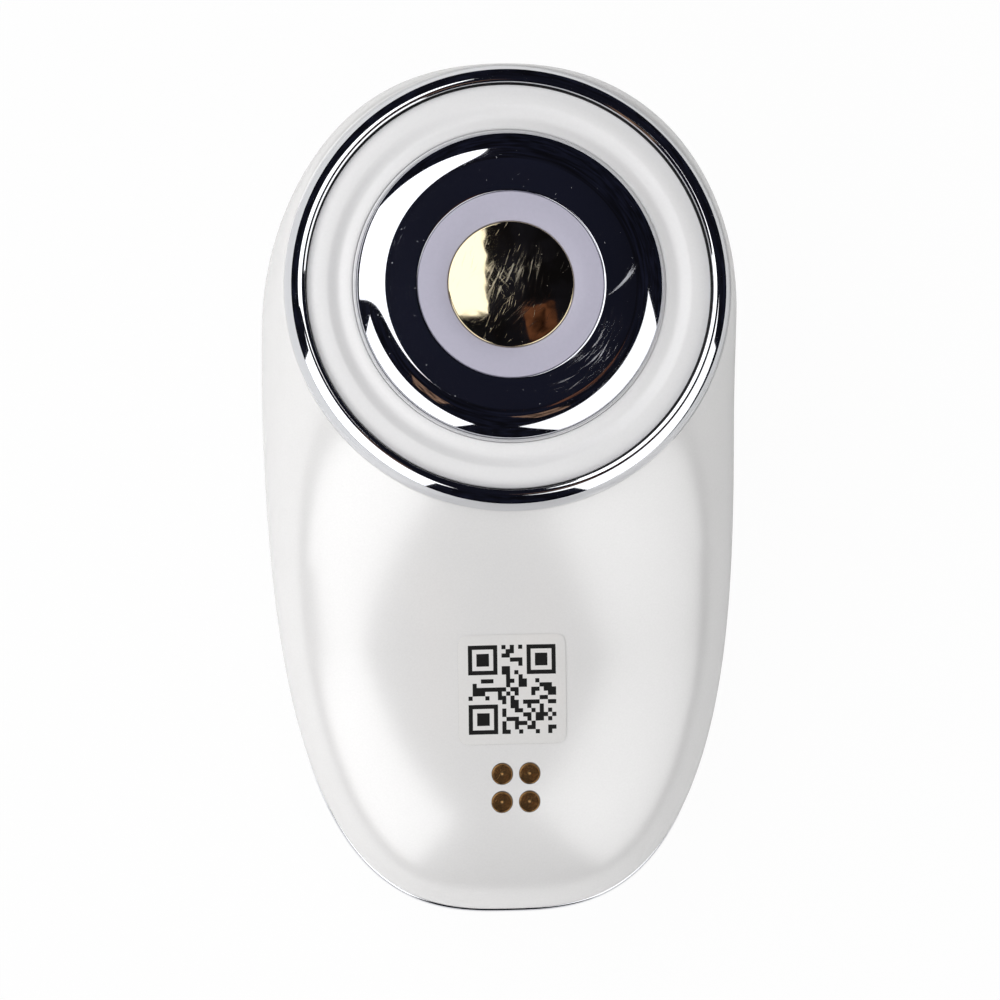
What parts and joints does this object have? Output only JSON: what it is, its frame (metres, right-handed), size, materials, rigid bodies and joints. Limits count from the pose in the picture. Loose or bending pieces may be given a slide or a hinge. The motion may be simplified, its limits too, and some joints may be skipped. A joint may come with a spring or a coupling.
{
  "type": "facial toning device",
  "caption": "Palm-held facial toning device with a round ring-electrode treatment head, charging contacts and a press button.",
  "frame": {"origin": "under the middle of the body, on the flat of the back that it rests on", "axes": "+Z out of the treatment side, +Y along the body towards the treatment head, +X across it"},
  "size_m": [0.0594, 0.1052, 0.0383],
  "materials": {
    "pearl_white": "gloss, fine pearl grain",
    "chrome": "mirror",
    "seal_grey": "matt",
    "seal_black": "matt",
    "satin_white": "satin",
    "plain_rim": "satin",
    "lavender": "matt",
    "gold_plate": "polished",
    "frame_plastic": "matt",
    "screw_steel": "satin",
    "board_green": "satin",
    "black_plastic": "matt",
    "battery_foil": "satin",
    "wire_red": "satin",
    "wire_blue": "satin",
    "motor_steel": "satin",
    "weight_steel": "satin",
    "wire_orange": "satin",
    "contact_gold": "turned",
    "magnet_nickel": "polished",
    "clear_pipe": "gloss",
    "led_white": "gloss",
    "sticker": "satin"
  },
  "bodies": {
    "device": {"front_shell": "pearl_white", "rear_shell": "pearl_white", "trim_band": "chrome", "parting_gasket": "seal_grey", "head_bezel": "chrome", "head_seal": "seal_black", "surround_dish": "satin_white", "electrode_rim": "plain_rim", "outer_electrode": "chrome", "insulator_ring": "lavender", "centre_electrode": "gold_plate", "electrode_carrier": "frame_plastic", "carrier_screws": "screw_steel", "contact_springs": "gold_plate", "head_board": "board_green", "head_chips": "black_plastic", "head_board_screws": "screw_steel", "chassis": "frame_plastic", "chassis_screws": "screw_steel", "battery": "battery_foil", "battery_pad": "seal_grey", "battery_leads": "wire_red", "head_leads": "wire_blue", "main_board": "board_green", "board_chips": "black_plastic", "board_screws": "screw_steel", "vibration_motor": "motor_steel", "motor_leads": "wire_orange", "charge_contacts": "contact_gold", "contact_holder": "black_plastic", "contact_gasket": "seal_grey", "charge_magnets": "magnet_nickel", "charge_board": "board_green", "charge_board_screws": "screw_steel", "charge_leads": "wire_blue", "button_seal": "seal_grey", "switch_body": "black_plastic", "light_pipe": "clear_pipe", "status_led": "led_white", "code_label": "sticker"},
    "button": {"power_button": "pearl_white"},
    "plunger": {"switch_plunger": "seal_grey"},
    "weight": {"motor_weight": "weight_steel"}
  },
  "joints": [
    {"name": "button_press", "type": "slide", "parent": "device", "child": "button", "axis": [0, 0, 1], "range_m": [0, 0.0004], "stiffness_N_per_m": 1500, "springref_m": -0.0002},
    {"name": "plunger_press", "type": "slide", "parent": "device", "child": "plunger", "axis": [0, 0, 1], "range_m": [0, 0.00045]},
    {"name": "weight_spin", "type": "hinge", "parent": "device", "child": "weight", "pos_m": [0, 0.0242, 0.0162], "axis": [1, 0, 0], "continuous": true}
  ],
  "couplings": [
    {"joint": "plunger_press", "follows": "button_press", "ratio": 1}
  ]
}
